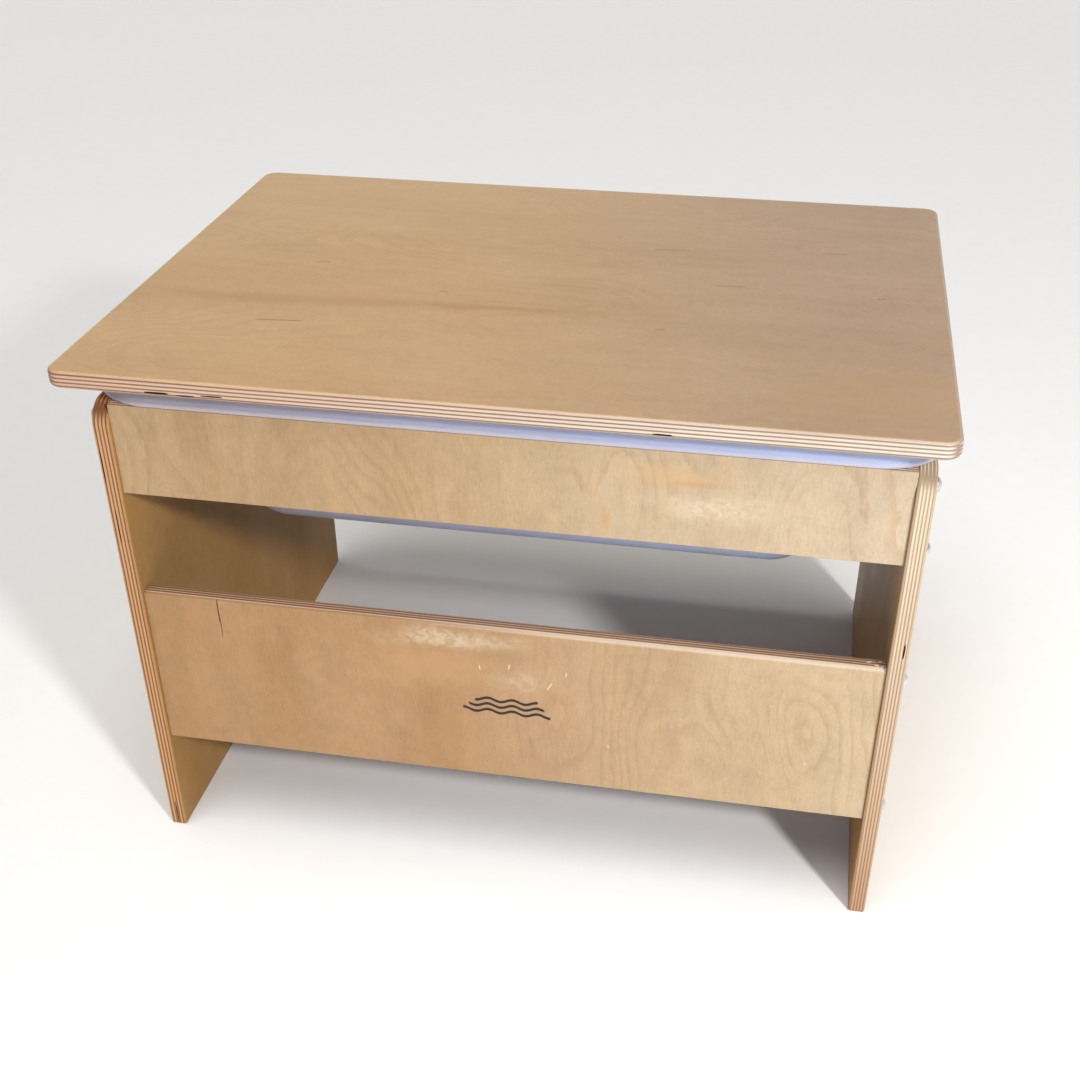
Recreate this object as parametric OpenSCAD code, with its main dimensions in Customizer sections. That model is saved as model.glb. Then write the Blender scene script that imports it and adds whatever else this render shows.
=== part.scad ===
// Small plywood sand and water table: two end panels joined by aprons and lower rails with
// connector bolts, a plastic tub that hangs in the frame by its rim, and a loose lid on the rim.
// Origin: on the floor below the middle of the lid. X runs right, Y to the back, Z up. Millimetres.

/* [Plywood] */
// Thickness of every plywood board
ply = 12.7; // [12:0.1:15]

/* [Lid] */
// Length of the lid from left to right
lid_l = 610; // [600:1:640]
// Depth of the lid from front to back
lid_d = 450; // [440:1:480]
// Radius of the lid's corners in plan
lid_corner_r = 12; // [6:1:40]
// Width of the battens under the lid
batten_w = 40; // [30:1:60]
// Smallest gap between a batten and the tub wall when the lid is centred
batten_gap = 10; // [8:0.5:14]

/* [Frame] */
// Width of the frame over its end panels
frame_w = 578; // [560:1:590]
// Depth of the end panels
frame_d = 428; // [400:1:436]
// Height of the end panels
frame_h = 390; // [360:1:460]
// How far the frame stands to the right of the lid's middle
frame_shift_x = 5.5; // [-6:0.5:6]
// How far the frame stands behind the lid's middle
frame_shift_y = 3; // [-5:0.5:5]
// Radius of the end panels' top corners
panel_corner_r = 18; // [8:1:30]
// How far aprons and rails sit behind the end panels' edges
setback = 3; // [0:0.5:8]
// Height of the aprons
apron_h = 70.5; // [60:0.5:90]
// Height of the lower rails
rail_h = 139.5; // [100:0.5:150]
// Height of the lower rails above the floor
rail_z = 94.5; // [60:0.5:100]
// Radius along the top edges of the lower rails
rail_edge_r = 3; // [1:0.5:5]

/* [Tub] */
// Height of the tub's rim above the frame
rim_h = 17.5; // [12:0.5:25]
// Depth of the tub below the top of the frame
tub_drop = 128.5; // [90:0.5:140]
// Wall thickness of the tub
tub_wall = 2.5; // [2:0.1:3]
// Radius of the rim's corners in plan
rim_corner_r = 46; // [30:1:60]
// How far the rim reaches past the end panels' outer faces
rim_over = 7; // [0:0.5:9]
// How far the tub's sides slope inwards from top to base
tub_taper = 60; // [40:1:70]
// Radius between the tub's sides and its base
base_fillet = 25; // [15:1:30]

/* [Fasteners] */
// Length of the connector bolts under the head
bolt_l = 50; // [46:1:55]
// Distance of the bolts from a board's upper and lower edges
bolt_inset = 11; // [11:0.5:18]
// Number of screws in each batten
batten_screws = 4; // [2:1:6]

/* [Hidden] */
$fn = 64;
hull_fn = 32;
eps = 0.01;

lid_z = frame_h + rim_h;
board_l = frame_w - 2 * ply;
board_y = frame_d / 2 - setback - ply / 2;

// M6 connector bolt with a button head, and its barrel nut
bolt_r = 3;
bolt_hole_r = 3.3;
head_r = 5.25;
head_h = 3.3;
head_rim = 0.6;
socket_af = 4;
socket_depth = 2;
nut_r = 5;
nut_l = 9.5;
nut_hole_l = 10.2;
nut_bore_r = 3.1;
nut_depth = 32;
nut_slot_w = 1.4;
nut_slot_depth = 1.6;
bolt_hole_l = bolt_l - ply + 4;

// 4 mm countersunk wood screw
screw_l = 20;
screw_r = 1.75;
screw_head_r = 4;
screw_head_h = 2.4;
screw_hole_r = 2.1;
pilot_r = 1.8;
pilot_l = screw_l - ply + 1;
cross_w = 0.9;
cross_l = 4.2;
cross_depth = 1.2;

// Tub: clearances to the frame and outer sizes of the body under the rim
rim_inset_y = setback + 0.5;
body_gap = 4;
rim_size = [frame_w + 2 * rim_over, frame_d - 2 * rim_inset_y];
body_size = [board_l - 2 * body_gap, 2 * (board_y - ply / 2 - body_gap)];
body_corner_r = 28;
base_corner_r = 12;
bead_h = 4;
bead_out = 0.6;
base_z = frame_h - tub_drop;
body_h = tub_drop + rim_h;
slope = atan(tub_taper / body_h);
// Distance from the corner where side and base would meet to the start of the fillet
fillet_run = base_fillet / tan((90 + slope) / 2);
base_size = body_size - [2, 2] * (tub_taper + fillet_run);
// Thickness of the sloping side measured level
side_t = tub_wall / cos(slope);

// Battens stay clear of the tub's walls at their lower face
batten_inset = side_t + tub_taper * ply / body_h + batten_gap;
batten_x = body_size[0] / 2 - batten_inset - batten_w / 2;
batten_l = body_size[1] - 2 * batten_inset - 6;
batten_corner_r = 12;
screw_pitch = (batten_l - 52) / (batten_screws - 1);

// ---------- shared shapes ----------

// Rectangle with round corners, centred
module rounded_rect(size, r) {
  square([size[0] - 2 * r, size[1]], center = true);
  square([size[0], size[1] - 2 * r], center = true);
  for (sx = [-1, 1], sy = [-1, 1])
    translate([sx * (size[0] / 2 - r), sy * (size[1] / 2 - r)]) circle(r);
}

// Upright rectangle with round top corners, standing on the X axis and centred on Y
module arched_rect(w, h, r) {
  translate([-w / 2, 0]) square([w, h - r]);
  translate([-w / 2 + r, 0]) square([w - 2 * r, h]);
  for (s = [-1, 1]) translate([s * (w / 2 - r), h - r]) circle(r);
}

// Extrudes a shape drawn in Y and Z along +X
module along_x(length) {
  rotate([90, 0, 90]) linear_extrude(length) children();
}

// Puts children in the frame's own place
module in_frame() {
  translate([frame_shift_x, frame_shift_y, 0]) children();
}

// Heights of the two bolts in a board of height h that starts at z
function bolt_heights(z, h) = [z + bolt_inset, z + h - bolt_inset];
function apron_bolt_heights() = bolt_heights(frame_h - apron_h, apron_h);
function rail_bolt_heights() = bolt_heights(rail_z, rail_h);

// Children at each bolt of one board, pointing outwards along +X from the end panel's face
module at_bolts(side_y, heights) {
  for (sx = [-1, 1], z = heights)
    translate([sx * frame_w / 2, side_y * board_y, z]) scale_sign(sx) children();
}

// Mirrors children to the left when s is negative
module scale_sign(s) {
  mirror([s < 0 ? 1 : 0, 0, 0]) children();
}

// ---------- plywood frame ----------

// One end panel; s is -1 for left and 1 for right
module end_panel(s) {
  color("burlywood") in_frame() difference() {
    translate([s > 0 ? frame_w / 2 - ply : -frame_w / 2, 0, 0])
      along_x(ply) arched_rect(frame_d, frame_h, panel_corner_r);
    for (sy = [-1, 1]) {
      at_bolts(sy, apron_bolt_heights()) panel_hole();
      at_bolts(sy, rail_bolt_heights()) panel_hole();
    }
  }
}

// Clearance hole through an end panel
module panel_hole() {
  translate([-ply - 1, 0, 0]) rotate([0, 90, 0]) cylinder(r = bolt_hole_r, h = ply + 2);
}

// Long bolt hole into a board's end and the blind hole for its barrel nut
module board_hole(side_y) {
  translate([-ply - bolt_hole_l, 0, 0])
    rotate([0, 90, 0]) cylinder(r = bolt_hole_r, h = bolt_hole_l + 1);
  translate([-ply - nut_depth, -side_y * (ply / 2 + 1), 0])
    rotate([-side_y * 90, 0, 0]) cylinder(r = nut_r + 0.05, h = nut_hole_l + 1);
}

// Apron under the tub's rim; side_y is -1 for front and 1 for back
module apron(side_y) {
  color("burlywood") in_frame() difference() {
    translate([-board_l / 2, side_y * board_y, frame_h - apron_h])
      along_x(board_l) translate([-ply / 2, 0]) square([ply, apron_h]);
    at_bolts(side_y, apron_bolt_heights()) board_hole(side_y);
  }
}

// Lower rail with both top edges rounded
module lower_rail(side_y) {
  color("burlywood") in_frame() difference() {
    translate([-board_l / 2, side_y * board_y, rail_z])
      along_x(board_l) arched_rect(ply, rail_h, rail_edge_r);
    at_bolts(side_y, rail_bolt_heights()) board_hole(side_y);
  }
}

// ---------- fasteners of the frame ----------

// Button-head bolt; its head sits on the plane X = 0 and its shank runs along -X
module connector_bolt() {
  difference() {
    rotate([0, 90, 0]) rotate_extrude() bolt_outline();
    translate([head_h - socket_depth, 0, 0]) rotate([0, 90, 0])
      cylinder(r = socket_af / sqrt(3), h = socket_depth + 1, $fn = 6);
  }
}

// Half outline of the bolt: radius along X, length along Y
module bolt_outline() {
  // Ball radius whose cap has the head's width and height
  ball_r = (pow(head_r, 2) + pow(head_h - head_rim, 2)) / (2 * (head_h - head_rim));
  translate([0, -bolt_l]) square([bolt_r, bolt_l + eps]);
  square([head_r, head_rim]);
  intersection() {
    translate([0, head_h - ball_r]) circle(ball_r);
    square([head_r, head_h]);
  }
}

// Barrel nut with a cross bore and a slot in the end that shows
module barrel_nut(side_y) {
  translate([-ply - nut_depth, 0, 0]) difference() {
    translate([0, -side_y * ply / 2, 0]) rotate([-side_y * 90, 0, 0])
      difference() {
        translate([0, 0, nut_hole_l - nut_l]) cylinder(r = nut_r, h = nut_l);
        translate([-nut_r, -nut_slot_w / 2, nut_hole_l - nut_l - eps])
          cube([2 * nut_r, nut_slot_w, nut_slot_depth]);
      }
    translate([-nut_r - 1, 0, 0]) rotate([0, 90, 0]) cylinder(r = nut_bore_r, h = 2 * nut_r + 2);
  }
}

module bolts(side_y, heights) {
  color("silver") in_frame() at_bolts(side_y, heights) connector_bolt();
}

module barrel_nuts(side_y, heights) {
  color("darkgray") in_frame() at_bolts(side_y, heights) barrel_nut(side_y);
}

// ---------- tub ----------

// Tapered body with filleted base; inset is how far its surface lies inside the outer surface
module tub_body(inset, top_z) {
  level_in = inset / cos(slope);
  hull() {
    for (sx = [-1, 1], sy = [-1, 1])
      translate([
        sx * (base_size[0] / 2 - base_corner_r),
        sy * (base_size[1] / 2 - base_corner_r),
        base_z + base_fillet
      ]) corner_ring(base_corner_r, base_fillet - inset);
    translate([0, 0, top_z - eps]) linear_extrude(eps)
      rounded_rect(body_size - [2, 2] * level_in, body_corner_r - level_in, $fn = hull_fn);
  }
}

// Ring that rounds a corner both in plan and in section
module corner_ring(ring_r, tube_r) {
  rotate_extrude($fn = hull_fn) intersection() {
    translate([ring_r, 0]) circle(tube_r, $fn = hull_fn);
    translate([0, -tube_r]) square([ring_r + tube_r, 2 * tube_r]);
  }
}

// Flat rim with a skirt that stands on the frame and a bead along the skirt's foot
module tub_rim() {
  translate([0, 0, lid_z - tub_wall]) linear_extrude(tub_wall) rounded_rect(rim_size, rim_corner_r);
  difference() {
    union() {
      translate([0, 0, frame_h]) linear_extrude(rim_h) rounded_rect(rim_size, rim_corner_r);
      translate([0, 0, frame_h]) linear_extrude(bead_h)
        rounded_rect(rim_size + [2, 2] * bead_out, rim_corner_r + bead_out);
    }
    translate([0, 0, frame_h - 1]) linear_extrude(rim_h + 2)
      rounded_rect(rim_size - [2, 2] * tub_wall, rim_corner_r - tub_wall);
  }
}

module tub() {
  color("lightsteelblue", 0.7) in_frame() difference() {
    union() {
      tub_rim();
      tub_body(0, lid_z);
    }
    tub_body(tub_wall, lid_z + eps);
  }
}

// ---------- lid ----------

// Children at each screw of one batten
module at_batten_screws(s) {
  for (i = [0 : batten_screws - 1])
    translate([s * batten_x, (i - (batten_screws - 1) / 2) * screw_pitch, lid_z - ply]) children();
}

module lid_board() {
  color("tan") difference() {
    translate([0, 0, lid_z]) linear_extrude(ply) rounded_rect([lid_l, lid_d], lid_corner_r);
    for (s = [-1, 1]) at_batten_screws(s) cylinder(r = pilot_r, h = ply + pilot_l);
  }
}

// Batten that keeps the lid on the tub; s is -1 for left and 1 for right
module lid_batten(s) {
  color("burlywood") difference() {
    translate([s * batten_x, 0, lid_z - ply]) linear_extrude(ply)
      rounded_rect([batten_w, batten_l], batten_corner_r);
    at_batten_screws(s) {
      translate([0, 0, -1]) cylinder(r = screw_hole_r, h = ply + 2);
      translate([0, 0, -eps]) cylinder(r1 = screw_head_r + 0.3, r2 = screw_hole_r, h = screw_head_h);
    }
  }
}

// Countersunk screw driven upwards, head flush with the batten
module wood_screw() {
  difference() {
    union() {
      cylinder(r1 = screw_head_r, r2 = screw_r, h = screw_head_h);
      cylinder(r = screw_r, h = screw_l - 3);
      translate([0, 0, screw_l - 3]) cylinder(r1 = screw_r, r2 = 0.3, h = 3);
    }
    for (a = [0, 90]) rotate(a) translate([-cross_l / 2, -cross_w / 2, -1])
      cube([cross_l, cross_w, cross_depth + 1]);
  }
}

module batten_screw_set(s) {
  color("gold") at_batten_screws(s) wood_screw();
}

// ---------- nodes ----------

end_panel(-1);  // left_end_panel
end_panel(1);  // right_end_panel
apron(-1);  // front_apron
apron(1);  // back_apron
lower_rail(-1);  // front_lower_rail
lower_rail(1);  // back_lower_rail
bolts(-1, apron_bolt_heights());  // front_apron_bolts
bolts(1, apron_bolt_heights());  // back_apron_bolts
bolts(-1, rail_bolt_heights());  // front_rail_bolts
bolts(1, rail_bolt_heights());  // back_rail_bolts
barrel_nuts(-1, apron_bolt_heights());  // front_apron_barrel_nuts
barrel_nuts(1, apron_bolt_heights());  // back_apron_barrel_nuts
barrel_nuts(-1, rail_bolt_heights());  // front_rail_barrel_nuts
barrel_nuts(1, rail_bolt_heights());  // back_rail_barrel_nuts
tub();
lid_board();
lid_batten(-1);  // lid_left_batten
lid_batten(1);  // lid_right_batten
batten_screw_set(-1);  // left_batten_screws
batten_screw_set(1);  // right_batten_screws
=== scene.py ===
import math

import bmesh
import bpy
from mathutils import Matrix, Vector, noise


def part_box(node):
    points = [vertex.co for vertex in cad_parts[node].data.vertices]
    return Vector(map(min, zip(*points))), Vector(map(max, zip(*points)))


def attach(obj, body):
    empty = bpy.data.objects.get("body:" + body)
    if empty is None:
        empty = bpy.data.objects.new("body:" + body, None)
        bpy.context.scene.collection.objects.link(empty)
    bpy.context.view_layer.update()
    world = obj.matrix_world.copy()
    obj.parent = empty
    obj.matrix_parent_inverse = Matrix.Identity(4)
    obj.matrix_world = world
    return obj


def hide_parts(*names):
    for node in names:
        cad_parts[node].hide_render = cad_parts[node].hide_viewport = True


# Plywood sand and water table: eased and lacquered boards, a moulded tub, zinc-plated fasteners.
# Metres throughout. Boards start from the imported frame's own meshes, the tub from its boxes.

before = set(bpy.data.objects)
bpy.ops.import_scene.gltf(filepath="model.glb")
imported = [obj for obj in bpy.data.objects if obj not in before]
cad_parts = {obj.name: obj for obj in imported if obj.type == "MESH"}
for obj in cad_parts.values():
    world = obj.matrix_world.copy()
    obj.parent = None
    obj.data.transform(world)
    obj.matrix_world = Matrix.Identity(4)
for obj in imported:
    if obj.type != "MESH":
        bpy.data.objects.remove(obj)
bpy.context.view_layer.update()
MM = 0.001

# ---------- driving values ----------

PLIES = 9
RIGHT_PLIES = 11
LID_CORNER = 12.0 * MM
BATTEN_CORNER = 12.0 * MM
PANEL_CORNER = 18.0 * MM
LID_EASE = 3.0 * MM
PANEL_EASE = 1.6 * MM
BOARD_EASE = 1.0 * MM
END_EASE = 0.6 * MM
EASE_SEGMENTS = 4

TUB_WALL = 2.5 * MM
TUB_GAP = 4.0 * MM
TUB_TAPER = 60.0 * MM
TUB_FILLET = 25.0 * MM
TUB_BASE_CORNER = 12.0 * MM
TUB_BODY_CORNER = 28.0 * MM
RIM_CORNER = 46.0 * MM
BEAD_OUT = 0.6 * MM
BEAD_HEIGHT = 4.0 * MM
BEAD_ROUND = 0.8 * MM
RIM_ROUND = 3.0 * MM
WALL_DEPTHS = (12.0 * MM, 30.0 * MM, 55.0 * MM, 80.0 * MM, 105.0 * MM)

# Radius around a bolt's line where the edges belong to its hole
BOLT_HOLE_REACH = 3.6 * MM

AXES = {"X": 0, "Y": 1, "Z": 2}


def size_of(node):
    """The size of a CAD node's box."""
    low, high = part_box(node)
    return high - low


def middle_of(node):
    low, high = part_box(node)
    return (low + high) / 2


PLY = size_of("left_end_panel").x
FRAME_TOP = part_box("left_end_panel")[1].z


# ---------- node graphs ----------

class Graph:
    """One material's node tree, with a short call for each kind of node."""

    def __init__(self, name):
        self.material = bpy.data.materials.new(name)
        self.material.use_nodes = True
        self.tree = self.material.node_tree
        self.tree.nodes.clear()
        output = self.tree.nodes.new("ShaderNodeOutputMaterial")
        self.shader = self.tree.nodes.new("ShaderNodeBsdfPrincipled")
        self.tree.links.new(self.shader.outputs["BSDF"], output.inputs["Surface"])
        coordinates = self.tree.nodes.new("ShaderNodeTexCoord")
        self.place = self.split(coordinates.outputs["Object"])
        self.normal = [self.math("ABSOLUTE", n) for n in self.split(coordinates.outputs["Normal"])]

    def put(self, value, socket):
        if isinstance(value, bpy.types.NodeSocket):
            self.tree.links.new(value, socket)
        elif socket.type == "RGBA":
            socket.default_value = (*value[:3], 1.0)
        else:
            socket.default_value = value

    def split(self, vector):
        node = self.tree.nodes.new("ShaderNodeSeparateXYZ")
        self.put(vector, node.inputs[0])
        return [node.outputs[i] for i in range(3)]

    def join(self, x, y, z):
        node = self.tree.nodes.new("ShaderNodeCombineXYZ")
        for value, socket in zip((x, y, z), node.inputs):
            self.put(value, socket)
        return node.outputs[0]

    def math(self, operation, *values, clamp=False):
        node = self.tree.nodes.new("ShaderNodeMath")
        node.operation = operation
        node.use_clamp = clamp
        for value, socket in zip(values, node.inputs):
            self.put(value, socket)
        return node.outputs[0]

    def add(self, a, b):
        return self.math("ADD", a, b)

    def sub(self, a, b):
        return self.math("SUBTRACT", a, b)

    def mul(self, a, b):
        return self.math("MULTIPLY", a, b)

    def step(self, value, low, high, to_low=0.0, to_high=1.0):
        """Smooth step from low to high."""
        node = self.tree.nodes.new("ShaderNodeMapRange")
        node.interpolation_type = "SMOOTHSTEP"
        for v, socket in zip((value, low, high, to_low, to_high), node.inputs):
            self.put(v, socket)
        return node.outputs[0]

    def noise(self, vector, scale=1.0, detail=2.0, roughness=0.5, distortion=0.0):
        node = self.tree.nodes.new("ShaderNodeTexNoise")
        node.inputs["Detail"].default_value = detail
        node.inputs["Roughness"].default_value = roughness
        node.inputs["Distortion"].default_value = distortion
        self.put(scale, node.inputs["Scale"])
        self.put(vector, node.inputs["Vector"])
        return node.outputs[0]

    def mix(self, factor, a, b, blend="MIX"):
        node = self.tree.nodes.new("ShaderNodeMix")
        node.data_type = "RGBA"
        node.blend_type = blend
        for value, socket in ((factor, node.inputs[0]), (a, node.inputs[6]), (b, node.inputs[7])):
            self.put(value, socket)
        return node.outputs[2]

    def shade(self, colour, value):
        """Colour multiplied by a grey value."""
        return self.mix(1.0, colour, self.join(value, value, value), "MULTIPLY")

    def bump(self, height, distance, strength=1.0, below=None):
        node = self.tree.nodes.new("ShaderNodeBump")
        node.inputs["Strength"].default_value = strength
        node.inputs["Distance"].default_value = distance
        self.put(height, node.inputs["Height"])
        if below is not None:
            self.put(below, node.inputs["Normal"])
        return node.outputs[0]

    def set(self, **values):
        """Sets the shader's sockets: Base_Color stands for Base Color."""
        for name, value in values.items():
            self.put(value, self.shader.inputs[name.replace("_", " ")])


# ---------- materials ----------

def ellipse(g, u, v, centre, half, ragged, soft=0.55):
    """1 inside an ellipse with a ragged soft edge, 0 outside."""
    du = g.mul(g.sub(u, centre[0]), 1.0 / half[0])
    dv = g.mul(g.sub(v, centre[1]), 1.0 / half[1])
    away = g.math("SQRT", g.add(g.mul(du, du), g.mul(dv, dv)))
    return g.step(g.add(away, ragged), 1.0, 1.0 - soft)


def stroke(g, u, v, start, end, radius):
    """1 on a short straight scratch from start to end, 0 away from it."""
    run = Vector(end) - Vector(start)
    length = run.length
    du, dv = g.sub(u, start[0]), g.sub(v, start[1])
    along = g.add(g.mul(du, run.x / length), g.mul(dv, run.y / length))
    off = g.math("ABSOLUTE", g.sub(g.mul(du, run.y / length), g.mul(dv, run.x / length)))
    past = g.math("ABSOLUTE", g.sub(along, length / 2))
    return g.mul(g.step(off, radius, radius * 0.4), g.step(past, length / 2, length * 0.35))


PLAIN = (1.0, 1.0, 1.0)
GRAIN_LINE = (0.34, 0.185, 0.075)
PLY_LIGHT = (0.76, 0.620, 0.460)
PLY_DARK = (0.290, 0.185, 0.125)
GLUE = (0.22, 0.125, 0.075)


class Veneer:
    """What a board looks like.

    left and right are the pale and warm colours at its two ends along X, and turn is where between
    the ends one gives way to the other. On the front apron and rail the paler right end is painted
    sheen, and on the end panels the darker inner side is painted shade. figure is the strength of
    the grain's pattern. edge tints the plies at the two ends of the grain, and contrast is how much
    darker end grain shows there. marks adds the board's own stains and nicks, and on the front apron
    and rail painted highlights as well. shine is the share of the lacquer's gloss.
    """

    def __init__(
        self, left, right=None, turn=(0.1, 0.9), figure=1.0, edge=(PLAIN, PLAIN), marks=None,
        shine=1.0, contrast=1.0,
    ):
        self.left = left
        self.right = right or left
        self.turn = turn
        self.figure = figure
        self.edge = edge
        self.marks = marks
        self.shine = shine
        self.contrast = contrast


def face_veneer(g, veneer, a, c, sheet, x_share):
    """Colour of the face veneer and its fine relief. a runs along the grain and c across it."""
    figure = veneer.figure
    turn = g.step(x_share, *veneer.turn)
    patch = g.noise(g.join(g.mul(a, 3.0), g.mul(c, 8.0), sheet), detail=3.0, roughness=0.55)
    cloud = g.noise(g.join(g.mul(a, 9.0), g.mul(c, 22.0), g.add(sheet, 5.0)), detail=2.0)
    field = g.noise(g.join(g.mul(a, 3.6), g.mul(c, 7.5), g.add(sheet, 11.0)), detail=2.0, roughness=0.40)
    wobble = g.noise(g.join(g.mul(a, 60.0), g.mul(c, 240.0), sheet), detail=2.0)
    ring = g.math("FRACT", g.add(g.mul(field, 26.0), g.mul(wobble, 0.5)))
    line = g.mul(g.step(ring, 0.45, 0.93), g.step(ring, 1.0, 0.94))
    shown = g.step(g.noise(g.join(g.mul(a, 7.0), g.mul(c, 10.0), g.add(sheet, 23.0))), 0.40, 0.62)
    line = g.mul(line, shown)
    curl = g.noise(g.join(g.mul(a, 85.0), g.mul(c, 60.0), g.add(sheet, 31.0)), detail=4.0, roughness=0.6)
    slant = g.add(g.mul(a, 26.0), g.mul(c, 30.0))
    flame = g.noise(g.join(slant, g.mul(c, 62.0), g.add(sheet, 37.0)), detail=3.0, distortion=0.6)
    fibre = g.noise(g.join(g.mul(a, 150.0), g.mul(c, 720.0), g.add(sheet, 41.0)), detail=3.0, roughness=0.65)
    streak = g.noise(g.join(g.mul(a, 10.0), g.mul(c, 110.0), g.add(sheet, 47.0)), detail=3.0)
    pore = g.noise(g.join(g.mul(a, 420.0), g.mul(c, 900.0), g.add(sheet, 53.0)), detail=1.0)
    fleck = g.step(pore, 0.62, 0.76)
    pale = g.mix(turn, veneer.left[0], veneer.right[0])
    warm = g.mix(turn, veneer.left[1], veneer.right[1])
    face = g.mix(g.step(patch, 0.32, 0.70), pale, warm)
    face = g.mix(g.mul(line, 0.27 * figure), face, GRAIN_LINE)
    tone = g.add(1.0, g.mul(g.sub(cloud, 0.5), 0.20 * figure))
    tone = g.add(tone, g.mul(g.sub(curl, 0.5), 0.26 * figure))
    tone = g.add(tone, g.mul(g.sub(flame, 0.5), 0.22 * figure))
    tone = g.add(tone, g.mul(g.sub(fibre, 0.5), 0.32))
    tone = g.add(tone, g.mul(g.sub(streak, 0.5), 0.12))
    tone = g.add(tone, g.mul(g.sub(pore, 0.5), 0.28))
    tone = g.sub(tone, g.mul(fleck, 0.16))
    return g.shade(face, tone), g.sub(fibre, line)


def ply_edges(g, a, c, level, along, across, contrast):
    """Colour and relief of the plies at an edge: long grain light, end grain dark, thin glue lines."""
    ply = g.math("FLOOR", level)
    part = g.math("FRACT", level)
    from_odd = g.math("ABSOLUTE", g.sub(g.math("FRACT", g.mul(level, 0.5)), 0.75))
    odd = g.step(from_odd, 0.235, 0.145)
    even = g.sub(1.0, odd)
    end_grain = g.add(g.mul(g.normal[along], even), g.mul(g.normal[across], odd))
    end_grain = g.step(end_grain, 0.25, 0.75)
    run = g.add(g.mul(a, even), g.mul(c, odd))
    cross = g.add(g.mul(c, even), g.mul(a, odd))
    fibre = g.noise(g.join(g.mul(run, 30.0), g.mul(cross, 700.0), g.mul(level, 6.0)), detail=3.0)
    tone = g.noise(g.join(g.mul(a, 5.0), g.mul(c, 5.0), g.mul(ply, 3.3)), detail=1.0)
    pore = g.noise(g.join(g.mul(a, 800.0), g.mul(c, 800.0), g.mul(level, 9.0)), detail=2.0)
    light = g.shade(PLY_LIGHT, g.add(0.70, g.add(g.mul(fibre, 0.26), g.mul(tone, 0.34))))
    dark = g.shade(PLY_DARK, g.add(0.50, g.add(g.mul(pore, 0.5), g.mul(tone, 0.5))))
    edge = g.mix(g.mul(end_grain, contrast), light, dark)
    glue = g.add(g.step(part, 0.10, 0.0), g.step(part, 0.90, 1.0))
    relief = g.add(g.mul(fibre, 0.4), g.mul(part, 0.8))
    return g.mix(g.mul(glue, 0.35), edge, GLUE), relief


def plywood(name, node, grain, through, seed, veneer, plies=PLIES):
    """Lacquered birch plywood as a solid material: veneer on the faces, plies at the edges.

    grain and through are axis letters: the face veneer's grain, and the board's thickness.
    """
    g = Graph(name)
    along, deep = AXES[grain], AXES[through]
    across = 3 - along - deep
    low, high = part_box(node)
    a, c = g.place[along], g.place[across]
    t = g.mul(g.sub(g.place[deep], low[deep]), 1.0 / (high[deep] - low[deep]))
    x_share = g.mul(g.sub(g.place[0], low[0]), 1.0 / (high[0] - low[0]))
    sheet = g.add(g.mul(g.math("ROUND", t), 3.7), seed)
    face, face_relief = face_veneer(g, veneer, a, c, sheet, x_share)

    wave = g.noise(g.join(g.mul(a, 14.0), g.mul(c, 14.0), seed), detail=2.0)
    level = g.add(g.mul(t, plies), g.mul(g.sub(wave, 0.5), 0.4))
    edge, edge_relief = ply_edges(g, a, c, level, along, across, veneer.contrast)
    grain_share = g.mul(g.sub(a, low[along]), 1.0 / (high[along] - low[along]))
    edge = g.mix(1.0, edge, g.mix(grain_share, *veneer.edge), "MULTIPLY")
    skin = g.step(g.math("ABSOLUTE", g.sub(t, 0.5)), 0.5 - 1.15 / plies, 0.5 - 0.85 / plies)
    edge = g.mix(g.mul(skin, 0.6), edge, g.shade(face, 0.92))
    outer = g.step(g.math("ABSOLUTE", g.sub(t, 0.5)), 0.5 - 1.2 / plies, 0.5 - 0.9 / plies)
    on_face = g.mul(g.step(g.normal[deep], 0.80, 0.97), outer)
    colour = g.mix(on_face, edge, face)

    gloss = g.noise(g.join(g.mul(a, 12.0), g.mul(c, 20.0), g.add(sheet, 61.0)), detail=4.0)
    rough = g.add(g.mul(on_face, -0.17), g.add(0.50, g.mul(gloss, 0.16)))
    if veneer.marks:
        colour, rough = veneer.marks(g, colour, rough)
    relief = g.add(g.mul(face_relief, on_face), g.mul(edge_relief, g.sub(1.0, on_face)))
    normal = g.bump(relief, 0.00006, 0.8)
    swell = g.noise(g.join(g.mul(a, 9.0), g.mul(c, 14.0), g.add(sheet, 71.0)), detail=2.0)
    normal = g.bump(swell, 0.0016, 0.35, below=normal)
    g.set(Base_Color=colour, Roughness=rough, Normal=normal)
    g.set(Coat_Weight=0.22 * veneer.shine, Coat_Roughness=0.16, Specular_IOR_Level=0.5 * veneer.shine)
    return g.material


def dark_wood(name, dark, light):
    """Inside of voids and splits; the voids' near-black colour is painted shade."""
    g = Graph(name)
    x, y, z = g.place
    grain = g.noise(g.join(g.mul(x, 500.0), g.mul(y, 500.0), g.mul(z, 500.0)), detail=4.0, roughness=0.7)
    colour = g.mix(g.step(grain, 0.3, 0.7), dark, light)
    g.set(Base_Color=colour, Roughness=0.85, Normal=g.bump(grain, 0.0002))
    return g.material


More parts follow.
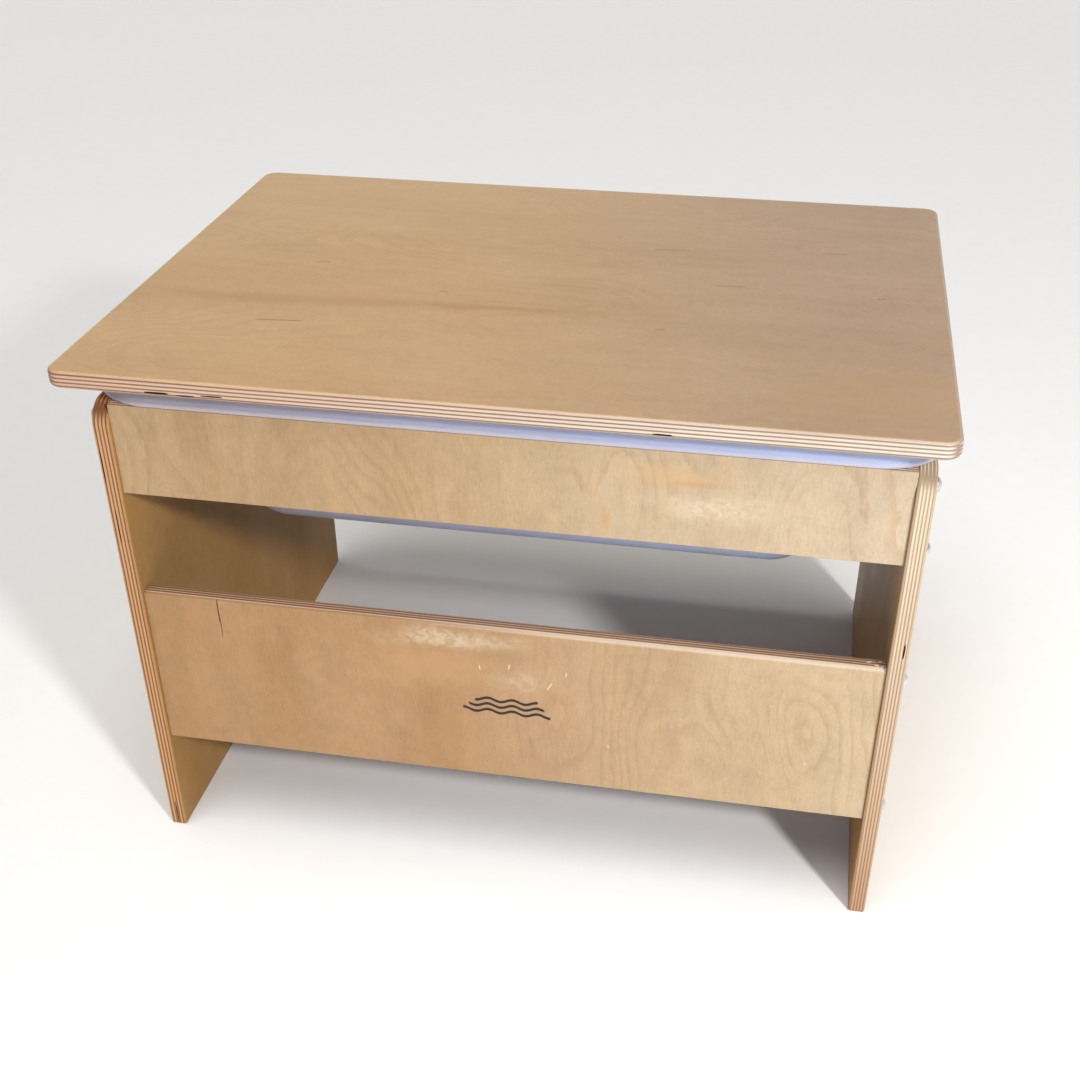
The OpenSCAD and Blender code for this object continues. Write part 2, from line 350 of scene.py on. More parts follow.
def moulded_plastic(name):
    """Translucent blue-violet plastic, greyer to the left, painted brighter toward the base, scuffed, and
    paler in a ragged line along the foot.
    """
    g = Graph(name)
    x, y, z = g.place
    low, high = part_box("tub")
    share = g.mul(g.sub(x, low.x), 1.0 / (high.x - low.x))
    cloud = g.noise(g.join(g.mul(x, 7.0), g.mul(y, 7.0), g.mul(z, 16.0)), detail=3.0)
    flow = g.noise(g.join(g.mul(x, 22.0), g.mul(y, 22.0), g.mul(z, 90.0)), detail=3.0, roughness=0.6)
    grit = g.noise(g.join(x, y, z), scale=1400.0, detail=2.0)
    scuff = g.noise(g.join(g.mul(x, 60.0), g.mul(y, 60.0), g.mul(z, 420.0)), detail=5.0, roughness=0.7)
    scuff = g.step(scuff, 0.60, 0.72)
    grey = g.mix(g.step(cloud, 0.3, 0.7), (0.290, 0.272, 0.345), (0.335, 0.315, 0.400))
    blue = g.mix(g.step(cloud, 0.3, 0.7), (0.390, 0.460, 0.715), (0.450, 0.525, 0.805))
    colour = g.mix(g.step(share, 0.05, 0.85), grey, blue)
    colour = g.shade(colour, g.add(0.90, g.mul(flow, 0.20)))
    # Painted light: the lower walls and base are brightened up to 1.55 times.
    colour = g.shade(colour, g.step(z, FRAME_TOP - 0.03, FRAME_TOP - 0.09, 1.0, 1.55))
    colour = g.mix(g.mul(scuff, 0.24), colour, (0.62, 0.62, 0.68))
    # A paler ragged line along the foot of the skirt, just above the frame's top.
    foot_rise = g.add(g.sub(z, FRAME_TOP), g.mul(g.sub(flow, 0.5), 0.004))
    at_foot = g.mul(g.step(foot_rise, 0.0042, 0.0018), g.step(g.sub(z, FRAME_TOP), -0.002, 0.0))
    colour = g.mix(g.mul(at_foot, 0.45), colour, (0.66, 0.60, 0.60))
    rough = g.add(0.27, g.add(g.mul(cloud, 0.10), g.mul(scuff, 0.22)))
    normal = g.bump(grit, 0.00003, 0.6)
    normal = g.bump(g.noise(g.join(x, y, z), scale=26.0, detail=2.0), 0.0009, 0.4, below=normal)
    g.set(Base_Color=colour, Roughness=rough, Normal=normal, Subsurface_Weight=0.35, Subsurface_Scale=0.006)
    g.set(Subsurface_Radius=(0.8, 0.85, 1.0), IOR=1.49, Transmission_Weight=0.06)
    return g.material


def plated_steel(name, bright, dull, rough_from, seed):
    """Zinc or steel with cloudy plating, fine turning marks and small scratches."""
    g = Graph(name)
    x, y, z = g.place
    cloud = g.noise(g.join(g.mul(x, 160.0), g.mul(y, 160.0), g.add(g.mul(z, 160.0), seed)), detail=4.0)
    mark = g.noise(g.join(g.mul(x, 2600.0), g.mul(y, 400.0), g.mul(z, 400.0)), detail=3.0)
    scratch = g.noise(g.join(g.mul(x, 500.0), g.mul(y, 4000.0), g.mul(z, 900.0)), detail=2.0)
    scratch = g.step(scratch, 0.66, 0.74)
    colour = g.mix(g.step(cloud, 0.3, 0.7), dull, bright)
    colour = g.mix(g.mul(scratch, 0.35), colour, (0.86, 0.86, 0.85))
    rough = g.add(rough_from, g.add(g.mul(cloud, 0.16), g.mul(mark, 0.08)))
    g.set(Base_Color=colour, Metallic=1.0, Roughness=rough, Normal=g.bump(mark, 0.00002, 0.5))
    return g.material


def pale_floor(name):
    g = Graph(name)
    x, y, _ = g.place
    grain = g.noise(g.join(x, y, 0.0), scale=40.0, detail=3.0)
    g.set(Base_Color=g.mix(grain, (0.88, 0.88, 0.88), (0.91, 0.91, 0.91)), Roughness=0.9)
    g.shader.inputs["Specular IOR Level"].default_value = 0.1
    return g.material


# ---------- meshes ----------

def fresh_object(name, mesh):
    made = bpy.data.objects.new(name, mesh)
    bpy.context.scene.collection.objects.link(made)
    return made


def applied(piece):
    """Replaces a piece's mesh by the result of its modifiers."""
    graph = bpy.context.evaluated_depsgraph_get()
    result = bpy.data.meshes.new_from_object(piece.evaluated_get(graph), depsgraph=graph)
    piece.modifiers.clear()
    piece.data = result
    return piece


def bolt_lines():
    """The connector bolts' lines, which run along X, as (y, z) points."""
    lines = []
    for board in ("front_apron", "back_apron", "front_rail", "back_rail"):
        low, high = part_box(board + "_bolts")
        head = (high.y - low.y) / 2
        middle = (high.y + low.y) / 2
        lines += [(middle, low.z + head), (middle, high.z - head)]
    return lines


def eased_edges(bm, node, through, reach, bolts):
    """Edges of a board's outline, without the edges of its holes."""
    low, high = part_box(node)
    flat = [i for i in range(3) if i != AXES[through]]

    def on_outline(v):
        return min(min(v.co[i] - low[i], high[i] - v.co[i]) for i in flat) < reach

    def at_bolt(v):
        return any(math.hypot(v.co.y - y, v.co.z - z) < BOLT_HOLE_REACH for y, z in bolts)

    found = []
    for edge in bm.edges:
        if len(edge.link_faces) == 2 and edge.calc_face_angle(0.0) > math.radians(50):
            if all(on_outline(v) for v in edge.verts) and not all(at_bolt(v) for v in edge.verts):
                found.append(edge)
    return found


def board(node, body, slot, material, through, ease, corner=0.0, cuts=(), inside=None):
    """A board from its CAD node: clean faces, eased outline, then voids and splits cut into it."""
    bm = bmesh.new()
    bm.from_mesh(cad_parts[node].data)
    bmesh.ops.remove_doubles(bm, verts=bm.verts, dist=0.002 * MM)
    bmesh.ops.dissolve_limit(bm, angle_limit=math.radians(0.5), verts=bm.verts, edges=bm.edges)
    edges = eased_edges(bm, node, through, corner * 0.3 + 0.05 * MM, bolt_lines())
    bmesh.ops.bevel(
        bm, geom=edges, offset=ease, offset_type="OFFSET", segments=EASE_SEGMENTS, profile=0.5,
        affect="EDGES", clamp_overlap=True,
    )
    mesh = bpy.data.meshes.new(node + "_plywood")
    bm.to_mesh(mesh)
    bm.free()
    piece = fresh_object(node + "_plywood", mesh)
    mesh.materials.clear()
    mesh.materials.append(material)
    mesh.materials.append(inside or VOID_SHADE)
    for centre, half, seed in cuts:
        cut_away(piece, ragged_lens(centre, half, seed))
    piece.data.shade_smooth()
    normals = piece.modifiers.new("normals", "WEIGHTED_NORMAL")
    normals.keep_sharp = True
    applied(piece)
    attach(piece, body)
    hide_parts(node)
    return piece


def cut_away(piece, mesh):
    """Cuts a mesh out of a piece. The cut's walls get the piece's second material."""
    for material in piece.data.materials:
        mesh.materials.append(material)
    for polygon in mesh.polygons:
        polygon.material_index = 1
    cutter = fresh_object("cutter", mesh)
    cut = piece.modifiers.new("cut", "BOOLEAN")
    cut.operation = "DIFFERENCE"
    cut.object = cutter
    cut.solver = "EXACT"
    applied(piece)
    bpy.data.objects.remove(cutter)
    without_slivers(piece.data)


def without_slivers(mesh):
    """Merges points that almost touch and drops the faces that vanish with them."""
    bm = bmesh.new()
    bm.from_mesh(mesh)
    bmesh.ops.remove_doubles(bm, verts=bm.verts, dist=0.005 * MM)
    bmesh.ops.dissolve_degenerate(bm, edges=bm.edges, dist=0.005 * MM)
    bm.to_mesh(mesh)
    bm.free()


def ragged_lens(centre, half, seed):
    """A ragged lens-shaped mesh from its centre and half sizes."""
    bm = bmesh.new()
    bmesh.ops.create_icosphere(bm, subdivisions=3, radius=1.0)
    for v in bm.verts:
        ragged = 1.0 + 0.25 * noise.noise(v.co * 2.6 + Vector((seed, seed * 0.7, 1.3)))
        shape = Vector([math.copysign(abs(s) ** 0.8, s) for s in v.co]) * ragged
        v.co = Vector(centre) + Vector([s * h for s, h in zip(shape, half)])
    mesh = bpy.data.meshes.new("lens")
    bm.to_mesh(mesh)
    bm.free()
    return mesh


def outline(half_x, half_y, radius, z, arc=14, straight=6):
    """Points of a rounded rectangle, anticlockwise from its right side."""
    points = []
    for quarter, (sx, sy) in enumerate(((1, 1), (-1, 1), (-1, -1), (1, -1))):
        start = quarter * math.pi / 2
        corner = Vector((sx * (half_x - radius), sy * (half_y - radius), 0))
        for i in range(arc + 1):
            angle = start + math.pi / 2 * i / arc
            points.append(corner + radius * Vector((math.cos(angle), math.sin(angle), 0)))
        next_sx, next_sy = ((-1, 1), (-1, -1), (1, -1), (1, 1))[quarter]
        following = Vector((next_sx * (half_x - radius), next_sy * (half_y - radius), 0))
        turn = start + math.pi / 2
        last = points[-1]
        target = following + radius * Vector((math.cos(turn), math.sin(turn), 0))
        points += [last.lerp(target, k / straight) for k in range(1, straight)]
    return [p + Vector((0, 0, z)) for p in points]


def arc_stations(count):
    """Cosine and sine at even steps of a quarter turn, both ends included."""
    return [(math.cos(q), math.sin(q)) for q in (math.pi / 2 * i / count for i in range(count + 1))]


def tub_stations():
    """Sections of the tub as (half x, half y, corner radius, height), along a closed profile."""
    centre = middle_of("tub")
    low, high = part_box("tub")
    top, base = high.z, low.z
    rim = (size_of("tub") / 2).xy - Vector((BEAD_OUT, BEAD_OUT))
    body = Vector((
        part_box("right_end_panel")[0].x - centre.x - TUB_GAP,
        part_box("back_apron")[0].y - centre.y - TUB_GAP,
    ))
    slope = math.atan(TUB_TAPER / (top - base))
    run = TUB_FILLET / math.tan((math.pi / 2 + slope) / 2)
    flat = body - Vector((1, 1)) * (TUB_TAPER + run)
    fillet_corner = TUB_BASE_CORNER + TUB_FILLET
    side_top = base + TUB_FILLET

    def section(size, inset, corner, z):
        return (size.x - inset, size.y - inset, corner - inset, z)

    def wall(depth, level_in):
        """Section of the sloping side at a depth under the top."""
        share = depth / (top - side_top)
        corner = TUB_BODY_CORNER + (fillet_corner - TUB_BODY_CORNER) * share
        inset = math.tan(slope) * depth
        return section(body, inset + level_in, corner + inset, top - depth)

    def fillet(inset):
        """Round between side and base, from the side down to the base."""
        radius = TUB_FILLET - inset
        turn = math.pi / 2 - slope
        found = []
        for i in range(9):
            angle = slope + turn * i / 8
            out = radius * math.cos(angle)
            found.append((
                flat.x + out, flat.y + out, TUB_BASE_CORNER + out,
                base + TUB_FILLET - radius * math.sin(angle),
            ))
        return found

    level_wall = TUB_WALL / math.cos(slope)
    foot = FRAME_TOP
    stations = []
    # Foot of the skirt and its bead
    stations += [section(rim, TUB_WALL, RIM_CORNER, foot + 0.4 * MM)]
    stations += [section(rim, TUB_WALL - 0.4 * MM, RIM_CORNER, foot)]
    for c, s in reversed(arc_stations(3)):
        inset = -BEAD_OUT + BEAD_ROUND * (1 - c)
        stations += [section(rim, inset, RIM_CORNER, foot + BEAD_ROUND * (1 - s))]
    stations += [section(rim, -BEAD_OUT, RIM_CORNER, foot + BEAD_HEIGHT - 1.4 * MM)]
    stations += [section(rim, -BEAD_OUT * 0.6, RIM_CORNER, foot + BEAD_HEIGHT - 0.6 * MM)]
    stations += [section(rim, -BEAD_OUT * 0.1, RIM_CORNER, foot + BEAD_HEIGHT + 0.1 * MM)]
    stations += [section(rim, 0.0, RIM_CORNER, foot + BEAD_HEIGHT + 1.0 * MM)]
    # Shoulder of the rim
    for c, s in arc_stations(5):
        stations += [section(rim, RIM_ROUND * (1 - c), RIM_CORNER, top - RIM_ROUND * (1 - s))]
    # Inner lip, inner wall, inner base
    for c, s in reversed(arc_stations(5)):
        inset = level_wall - RIM_ROUND * (1 - c) + math.tan(slope) * RIM_ROUND * (1 - s)
        stations += [section(body, inset, TUB_BODY_CORNER, top - RIM_ROUND * (1 - s))]
    for depth in WALL_DEPTHS:
        stations += [wall(depth, level_wall)]
    stations += fillet(TUB_WALL)
    inside = len(stations)
    # Outer base, outer wall, underside of the rim, inner face of the skirt
    under = list(reversed(fillet(0.0)))
    for depth in (*reversed(WALL_DEPTHS), 4.5 * MM):
        under += [wall(depth, 0.0)]
    roof = top - TUB_WALL
    under += [section(body, -0.6 * MM, TUB_BODY_CORNER, roof)]
    under += [section(rim, TUB_WALL + 1.0 * MM, RIM_CORNER, roof)]
    under += [section(rim, TUB_WALL, RIM_CORNER, roof - 1.0 * MM)]
    stations += under
    return stations, inside, centre


def tub(material):
    """The tub as one closed shell, lofted through its sections."""
    stations, inside, centre = tub_stations()
    bm = bmesh.new()
    rings = []
    for half_x, half_y, radius, z in stations:
        points = outline(half_x, half_y, max(radius, 1 * MM), z)
        rings.append([bm.verts.new(p + Vector((centre.x, centre.y, 0))) for p in points])
    count = len(rings[0])
    for k in range(len(rings)):
        if k == inside - 1:
            continue
        here, there = rings[k], rings[(k + 1) % len(rings)]
        for i in range(count):
            j = (i + 1) % count
            bm.faces.new((here[i], here[j], there[j], there[i]))
    bm.faces.new(rings[inside - 1])
    bm.faces.new(list(reversed(rings[inside])))
    bmesh.ops.recalc_face_normals(bm, faces=bm.faces)
    mesh = bpy.data.meshes.new("tub_shell")
    bm.to_mesh(mesh)
    bm.free()
    mesh.shade_smooth()
    piece = fresh_object("tub_shell", mesh)
    mesh.materials.append(material)
    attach(piece, "tub")
    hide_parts("tub")
    return piece


# ---------- the object ----------

# The voids' walls are near black: painted shade in the recess.
VOID_SHADE = dark_wood("ply_void_shade", (0.012, 0.006, 0.004), (0.060, 0.030, 0.018))
SPLIT = dark_wood("split_wood", (0.200, 0.090, 0.030), (0.420, 0.220, 0.090))

# Stains and marks on the boards, and colours of painted highlights
RUSSET = (0.42, 0.235, 0.095)
TAN = (0.420, 0.268, 0.135)
# Colour of the painted highlights on the apron and rail.
HIGHLIGHT_CREAM = (0.66, 0.54, 0.38)
HONEY = (0.60, 0.385, 0.185)
AMBER = (0.50, 0.275, 0.105)
BURL = (0.55, 0.315, 0.135)
TICK = (0.20, 0.11, 0.05)
NICK = (0.86, 0.76, 0.60)
CHIP = (0.88, 0.80, 0.70)
# Colour of the painted highlight along the rail's top edge.
EDGE_HIGHLIGHT = (0.86, 0.75, 0.62)
SCORCH = (0.30, 0.16, 0.07)
BURNT = (0.012, 0.005, 0.003)

# Burnt-in waves on the front rail
WAVE_LENGTH = 19.0 * MM
WAVE_SWING = 1.4 * MM
WAVE_STEP = 5.4 * MM
WAVE_REACH = 34.5 * MM


def lid_marks(g, colour, rough):
    """Warm streak along the grain, a warm front corner and a few short dark ticks."""
    x, y, _ = g.place
    drift = g.noise(g.join(g.mul(x, 14.0), g.mul(y, 60.0), 2.0), detail=3.0)
    ragged = g.mul(g.sub(drift, 0.5), 1.3)
    slant = g.sub(y, g.mul(x, 0.06))
    streak = ellipse(g, x, slant, (-0.150, -0.062), (0.26, 0.016), ragged, 0.9)
    core = ellipse(g, x, slant, (-0.010, -0.061), (0.085, 0.008), ragged, 0.9)
    colour = g.mix(g.mul(streak, 0.42), colour, RUSSET)
    colour = g.mix(g.mul(core, 0.45), colour, RUSSET)
    corner = ellipse(g, x, y, (0.250, -0.170), (0.110, 0.080), ragged, 0.9)
    colour = g.mix(g.mul(corner, 0.45), colour, TAN)
    for tick_x, tick_y, length, tilt in LID_TICKS:
        start, end = (tick_x, tick_y), (tick_x + length, tick_y + tilt)
        colour = g.mix(g.mul(stroke(g, x, y, start, end, 1.2 * MM), 0.60), colour, TICK)
    return colour, rough


# Start x, start y, length and rise of each tick on the lid
LID_TICKS = [
    (-0.060, 0.211, 0.009, -0.001),
    (0.209, 0.095, 0.022, 0.001),
    (0.074, 0.081, 0.030, 0.002),
    (0.130, 0.010, 0.026, 0.002),
    (-0.075, -0.037, 0.008, -0.001),
    (0.096, -0.082, 0.007, 0.002),
    (-0.187, 0.006, 0.014, 0.002),
    (0.252, 0.004, 0.008, 0.001),
    (-0.195, -0.114, 0.040, 0.003),
]


def curly(g, x, z):
    """Curly mottle for a painted highlight patch, from 0 to 1."""
    place = g.join(g.mul(x, 150.0), 9.0, g.mul(z, 190.0))
    mottle = g.noise(place, detail=4.0, roughness=0.6, distortion=0.8)
    return g.add(0.35, g.mul(g.step(mottle, 0.36, 0.62), 0.65))


def apron_marks(g, colour, rough):
    """Swirl of warm grain with a painted highlight, pale and curly, below it."""
    x, _, z = g.place
    low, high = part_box("front_apron")
    drift = g.noise(g.join(g.mul(x, 40.0), 3.0, g.mul(z, 90.0)), detail=3.0)
    ragged = g.mul(g.sub(drift, 0.5), 1.1)
    top = high.z
    warm = ellipse(g, x, z, (low.x + 0.395, top - 0.018), (0.050, 0.013), ragged, 0.9)
    core = ellipse(g, x, z, (low.x + 0.412, top - 0.023), (0.026, 0.0035), g.mul(ragged, 0.6), 0.9)
    # Painted highlight: a pale curly patch below the swirl.
    pale = ellipse(g, x, z, (low.x + 0.425, top - 0.040), (0.062, 0.017), ragged, 0.9)
    pale = g.mul(pale, curly(g, x, z))
    knot = ellipse(g, x, z, (low.x + 0.352, top - 0.056), (0.006, 0.014), ragged, 0.9)
    colour = g.mix(g.mul(pale, 0.80), colour, HIGHLIGHT_CREAM)
    colour = g.mix(g.mul(warm, 0.55), colour, HONEY)
    colour = g.mix(g.mul(g.add(core, knot), 0.50), colour, AMBER)
    return colour, g.sub(rough, g.mul(pale, 0.10))


def rail_marks(g, colour, rough):
    """Burl, a painted curly highlight above it, nicks, a painted highlight along the top edge, and three
    plain burnt-in waves.
    """
    x, y, z = g.place
    low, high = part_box("front_lower_rail")
    top = high.z
    drift = g.noise(g.join(g.mul(x, 38.0), 7.0, g.mul(z, 60.0)), detail=3.0)
    ragged = g.mul(g.sub(drift, 0.5), 1.2)
    warm = ellipse(g, x, z, (low.x + 0.225, top - 0.040), (0.075, 0.030), ragged, 0.95)
    # Painted highlight: pale curly patches above the burl and to its right.
    pale = ellipse(g, x, z, (low.x + 0.235, top - 0.014), (0.070, 0.014), ragged, 0.9)
    side = ellipse(g, x, z, (low.x + 0.290, top - 0.046), (0.030, 0.020), ragged, 0.9)
    colour = g.mix(g.mul(warm, 0.50), colour, BURL)
    pale = g.mul(g.math("MAXIMUM", pale, g.mul(side, 0.5)), curly(g, x, z))
    colour = g.mix(g.mul(pale, 0.66), colour, HIGHLIGHT_CREAM)
    for start_x, start_z, end_x, end_z in RAIL_NICKS:
        start, end = (low.x + start_x, top - start_z), (low.x + end_x, top - end_z)
        colour = g.mix(g.mul(stroke(g, x, z, start, end, 0.6 * MM), 0.65), colour, NICK)
    on_top = g.step(z, top - 1.5 * MM, top - 0.8 * MM)
    for chip_x, chip_y, run_x, run_y in RAIL_CHIPS:
        start = (high.x - chip_x, low.y + chip_y)
        torn = stroke(g, x, y, start, (start[0] + run_x, start[1] + run_y), 0.8 * MM)
        colour = g.mix(g.mul(g.mul(torn, on_top), 0.85), colour, CHIP)
    # Painted highlight along the front of the rail's rounded top edge.
    lit_edge = g.step(z, top - 3.4 * MM, top - 1.2 * MM)
    lit_edge = g.mul(lit_edge, g.step(y, low.y + 4.0 * MM, low.y + 1.6 * MM))
    lit_edge = g.mul(lit_edge, g.step(x, low.x + 0.16, low.x + 0.36))
    colour = g.mix(g.mul(lit_edge, 0.40), colour, EDGE_HIGHLIGHT)
    middle_x, middle_z = low.x + 0.280, top - 0.071
    burnt = 0.0
    for row in (-1, 0, 1):
        swing = g.mul(g.math("SINE", g.mul(g.sub(x, middle_x), 2 * math.pi / WAVE_LENGTH)), WAVE_SWING)
        off = g.math("ABSOLUTE", g.sub(g.sub(z, middle_z + WAVE_STEP * row), swing))
        reach = WAVE_REACH - WAVE_LENGTH * (row + 1) / 4
        ends = g.step(g.math("ABSOLUTE", g.sub(x, middle_x)), reach, reach - 0.0015)
        burnt = g.math("MAXIMUM", burnt, g.mul(g.step(off, 0.00150, 0.00105), ends))
    halo = ellipse(g, x, z, (middle_x, middle_z), (0.040, 0.011), 0.0, 0.9)
    colour = g.mix(g.mul(halo, 0.14), colour, SCORCH)
    colour = g.mix(burnt, colour, BURNT)
    return colour, g.add(rough, g.mul(burnt, 0.25))


# Start x, start depth, end x, end depth of each nick, from the rail's left end and top edge
RAIL_NICKS = [
    (0.2600, 0.034, 0.2606, 0.039),
    (0.2830, 0.031, 0.2822, 0.036),
    (0.3110, 0.051, 0.3150, 0.044),
    (0.3260, 0.033, 0.3250, 0.037),
    (0.5050, 0.092, 0.5052, 0.094),
    (0.3580, 0.097, 0.3582, 0.099),
]

# Distance from the rail's right end, depth from its front, and run of each torn chip on its top edge
RAIL_CHIPS = [
    (0.0040, 0.0030, 0.0028, 0.0010),
    (0.0085, 0.0044, 0.0035, -0.0012),
    (0.0140, 0.0066, 0.0040, 0.0014),
    (0.0060, 0.0082, 0.0030, 0.0008),
]

# Pale and warm colours of each face veneer
LID_LEFT = ((0.583, 0.384, 0.200), (0.541, 0.343, 0.172))
LID_RIGHT = ((0.436, 0.295, 0.195), (0.407, 0.272, 0.174))
# The front apron and rail turn paler and greyer toward their right ends: painted sheen from the lamp on the
# right.
APRON_LEFT = ((0.448, 0.300, 0.156), (0.410, 0.255, 0.116))
APRON_RIGHT_SHEEN = ((0.565, 0.454, 0.320), (0.530, 0.408, 0.268))
RAIL_LEFT = ((0.418, 0.240, 0.110), (0.362, 0.192, 0.070))
RAIL_RIGHT_SHEEN = ((0.535, 0.408, 0.260), (0.495, 0.358, 0.208))
# The end panels' inner faces take a darker, warmer veneer than their outer faces: painted shade for the
# shadow under the lid and tub.
PANEL_INNER_SHADE = ((0.370, 0.206, 0.070), (0.325, 0.170, 0.047))
PANEL_OUTER = ((0.500, 0.345, 0.190), (0.460, 0.300, 0.150))
BATTEN_PALE = ((0.545, 0.375, 0.215), (0.500, 0.320, 0.165))

PANEL_SHINE = 0.2

LID_VENEER = Veneer(
    LID_LEFT, LID_RIGHT, (0.25, 0.95), 0.5,
    edge=((0.77, 0.59, 0.52), (0.96, 1.09, 1.26)), marks=lid_marks,
)
# The apron and rail veneers pale toward their right ends as painted sheen.
APRON_VENEER = Veneer(APRON_LEFT, APRON_RIGHT_SHEEN, (0.35, 0.95), 1.0, marks=apron_marks)
RAIL_VENEER = Veneer(
    RAIL_LEFT, RAIL_RIGHT_SHEEN, (0.40, 0.90), 1.0, edge=(PLAIN, (0.70, 0.55, 0.46)), marks=rail_marks,
)
BACK_VENEER = Veneer(APRON_LEFT, figure=0.8)
LEFT_VENEER = Veneer(
    PANEL_OUTER, PANEL_INNER_SHADE, (0.4, 0.6), 0.8,
    edge=((0.78, 0.54, 0.34), (0.765, 0.53, 0.37)), shine=PANEL_SHINE,
)
RIGHT_VENEER = Veneer(
    PANEL_INNER_SHADE, PANEL_OUTER, (0.4, 0.6), 0.8,
    edge=((0.69, 0.525, 0.42), (0.96, 1.02, 1.02)), shine=PANEL_SHINE, contrast=0.72,
)
BATTEN_VENEER = Veneer(BATTEN_PALE, figure=0.8)


def ply_height(low, level):
    """Distance of the middle of a ply from the low face; level counts plies from 0."""
    return low + PLY * (level + 0.5) / PLIES


lid_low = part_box("lid_board")[0]
left_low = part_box("left_end_panel")[0]
right_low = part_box("right_end_panel")[0]
rail_low, rail_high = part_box("front_lower_rail")
lid_front = lid_low.y

# Centre, half sizes and seed of each void or split
LID_CUTS = [
    ((lid_low.x + 0.082, lid_front, ply_height(lid_low.z, 1.6)), (9.0 * MM, 3.0 * MM, 0.75 * MM), 3.0),
    ((lid_low.x + 0.103, lid_front, ply_height(lid_low.z, 1.2)), (6.5 * MM, 3.0 * MM, 0.6 * MM), 7.0),
    ((lid_low.x + 0.121, lid_front, ply_height(lid_low.z, 2.0)), (8.0 * MM, 2.6 * MM, 0.5 * MM), 9.0),
    ((lid_low.x + 0.424, lid_front, ply_height(lid_low.z, 1.4)), (7.0 * MM, 2.8 * MM, 0.65 * MM), 4.0),
]
LEFT_CUTS = [
    ((ply_height(left_low.x, 1), left_low.y, 0.342), (0.5 * MM, 2.4 * MM, 13.0 * MM), 2.0),
    ((ply_height(left_low.x, 3), left_low.y, 0.292), (0.5 * MM, 2.4 * MM, 14.0 * MM), 5.0),
    ((ply_height(left_low.x, 4), left_low.y, 0.012), (0.5 * MM, 2.4 * MM, 13.0 * MM), 8.0),
]
RIGHT_CUTS = [
    ((ply_height(right_low.x, 6), right_low.y, 0.253), (0.6 * MM, 1.6 * MM, 6.5 * MM), 6.0),
]
RAIL_CUTS = [
    ((rail_low.x + 0.0585, rail_low.y, rail_high.z - 8 * MM), (0.55 * MM, 1.8 * MM, 14.0 * MM), 1.0),
    ((rail_low.x + 0.0592, rail_low.y, rail_high.z - 24 * MM), (0.38 * MM, 1.1 * MM, 11.0 * MM), 1.5),
]

lid_ply = plywood("lid_veneer", "lid_board", "X", "Z", 2.3, LID_VENEER)
board("lid_board", "lid", "lid_plywood", lid_ply, "Z", LID_EASE, corner=LID_CORNER, cuts=LID_CUTS)
for side in ("left", "right"):
    node = f"lid_{side}_batten"
    wood = plywood(node + "_veneer", node, "Y", "Z", len(side) * 3.1, BATTEN_VENEER)
    board(node, "lid", "batten_plywood", wood, "Z", BOARD_EASE, corner=BATTEN_CORNER)

for side, cuts, seed, veneer, plies in (
    ("left", LEFT_CUTS, 14.2, LEFT_VENEER, PLIES),
    ("right", RIGHT_CUTS, 19.6, RIGHT_VENEER, RIGHT_PLIES),
):
    node = side + "_end_panel"
    wood = plywood(node + "_veneer", node, "Z", "X", seed, veneer, plies)
    board(node, "frame", "frame_plywood", wood, "X", PANEL_EASE, corner=PANEL_CORNER, cuts=cuts)

for node, seed, veneer, cuts in (
    ("front_apron", 31.4, APRON_VENEER, ()),
    ("back_apron", 37.9, BACK_VENEER, ()),
    ("front_lower_rail", 44.3, RAIL_VENEER, RAIL_CUTS),
    ("back_lower_rail", 51.8, BACK_VENEER, ()),
):
    wood = plywood(node + "_veneer", node, "Z", "Y", seed, veneer)
    board(node, "frame", "frame_plywood", wood, "Y", END_EASE, cuts=cuts, inside=SPLIT)

tub(moulded_plastic("blue_violet_plastic"))

METALS = {
    "bolt": plated_steel("bright_zinc", (0.78, 0.78, 0.76), (0.60, 0.60, 0.60), 0.20, 3.0),
    "nut": plated_steel("dull_zinc", (0.62, 0.62, 0.61), (0.46, 0.46, 0.46), 0.32, 9.0),
    "screw": plated_steel("yellow_zinc", (0.80, 0.66, 0.36), (0.62, 0.50, 0.28), 0.28, 15.0),
}
for name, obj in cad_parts.items():
    for key, metal in METALS.items():
        if name.endswith(key + "s"):
            obj.data.materials.clear()
            obj.data.materials.append(metal)


# ---------- stage ----------

def floor():
    """A wide level floor that curves up far away, so that no horizon shows."""
    flat, rise = 6.0, 4.0
    rings = [(flat * k / 6, 0.0) for k in range(1, 7)]
    rings += [(flat + rise * s, rise * (1 - c)) for c, s in arc_stations(12)]
    bm = bmesh.new()
    loops = []
    for radius, height in rings:
        turns = (2 * math.pi * i / 96 for i in range(96))
        loops.append([bm.verts.new((radius * math.cos(a), radius * math.sin(a), height)) for a in turns])
    bm.faces.new(loops[0])
    for inner, outer in zip(loops, loops[1:]):
        for i in range(96):
            j = (i + 1) % 96
            bm.faces.new((inner[i], outer[i], outer[j], inner[j]))
    bmesh.ops.remove_doubles(bm, verts=bm.verts, dist=1e-6)
    mesh = bpy.data.meshes.new("floor")
    bm.to_mesh(mesh)
    bm.free()
    mesh.shade_smooth()
    made = fresh_object("floor", mesh)
    mesh.materials.append(pale_floor("pale_floor"))


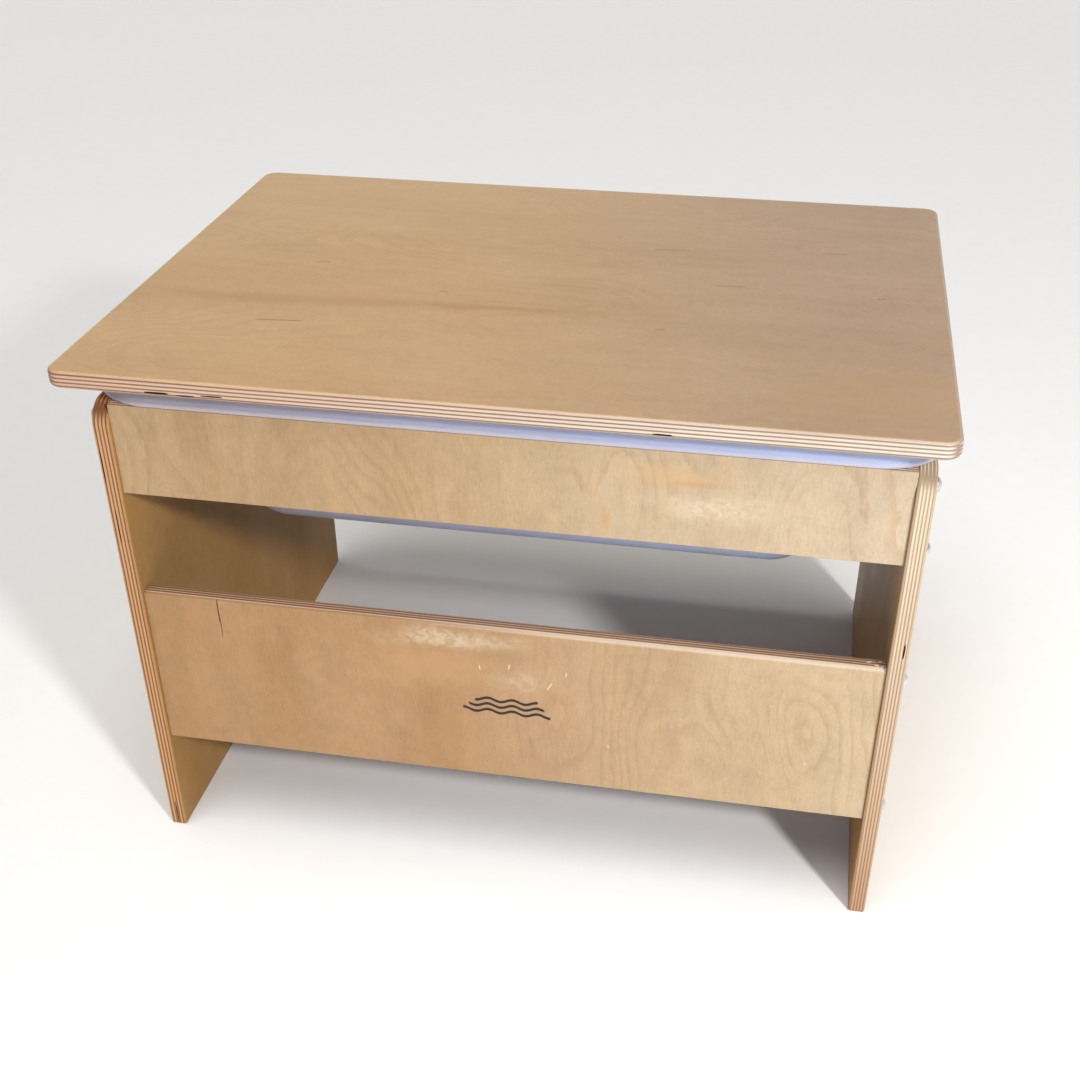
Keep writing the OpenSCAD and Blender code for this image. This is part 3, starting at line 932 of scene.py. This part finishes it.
def soft_sun(name, toward, spread, power, colour):
    light = bpy.data.lights.new(name, "SUN")
    light.angle = math.radians(spread)
    light.energy = power
    light.color = colour
    made = fresh_object(name, light)
    made.rotation_euler = Vector(toward).to_track_quat("-Z", "Y").to_euler()
    return made


def area_light(name, place, target, width, power, colour):
    light = bpy.data.lights.new(name, "AREA")
    light.shape = "DISK"
    light.size = width
    light.energy = power
    light.color = colour
    made = fresh_object(name, light)
    made.location = place
    made.rotation_euler = (Vector(target) - Vector(place)).to_track_quat("-Z", "Y").to_euler()
    return made


def surroundings(colour, strength):
    world = bpy.data.worlds.new("studio")
    world.use_nodes = True
    background = world.node_tree.nodes["Background"]
    background.inputs["Color"].default_value = (*colour, 1.0)
    background.inputs["Strength"].default_value = strength
    bpy.context.scene.world = world


def camera(place, azimuth, elevation, roll, lens_mm, shift, sensor_mm=36.0):
    """Camera by its place and angles. Azimuth turns it to look left of +Y, elevation looks down."""
    level = math.cos(elevation)
    forward = Vector((-math.sin(azimuth) * level, math.cos(azimuth) * level, -math.sin(elevation)))
    right = Vector((math.cos(azimuth), math.sin(azimuth), 0))
    up = right.cross(forward)
    right2 = math.cos(roll) * right + math.sin(roll) * up
    up2 = math.cos(roll) * up - math.sin(roll) * right
    data = bpy.data.cameras.new("camera")
    data.sensor_width = sensor_mm
    data.lens = lens_mm
    data.shift_x, data.shift_y = shift
    data.clip_end = 100.0
    made = fresh_object("camera", data)
    turn = Matrix((right2, up2, -forward)).transposed().to_4x4()
    made.matrix_world = Matrix.Translation(Vector(place)) @ turn
    bpy.context.scene.camera = made


floor()
surroundings((1.0, 1.0, 1.0), 0.12)
soft_sun("top", (0.10, 0.25, -1.0), 50.0, 2.05, (1.0, 0.985, 0.96))
area_light("key", (1.30, -1.65, 1.45), (0.0, -0.2, 0.2), 0.22, 39.0, (1.0, 0.98, 0.96))
camera(
    place=(0.19676, -1.0363, 0.82443), azimuth=0.1873, elevation=0.6017, roll=-0.0038,
    lens_mm=47.380665, shift=(-0.0054907407, 0.074972222),
)
bpy.context.scene.view_settings.view_transform = "Standard"
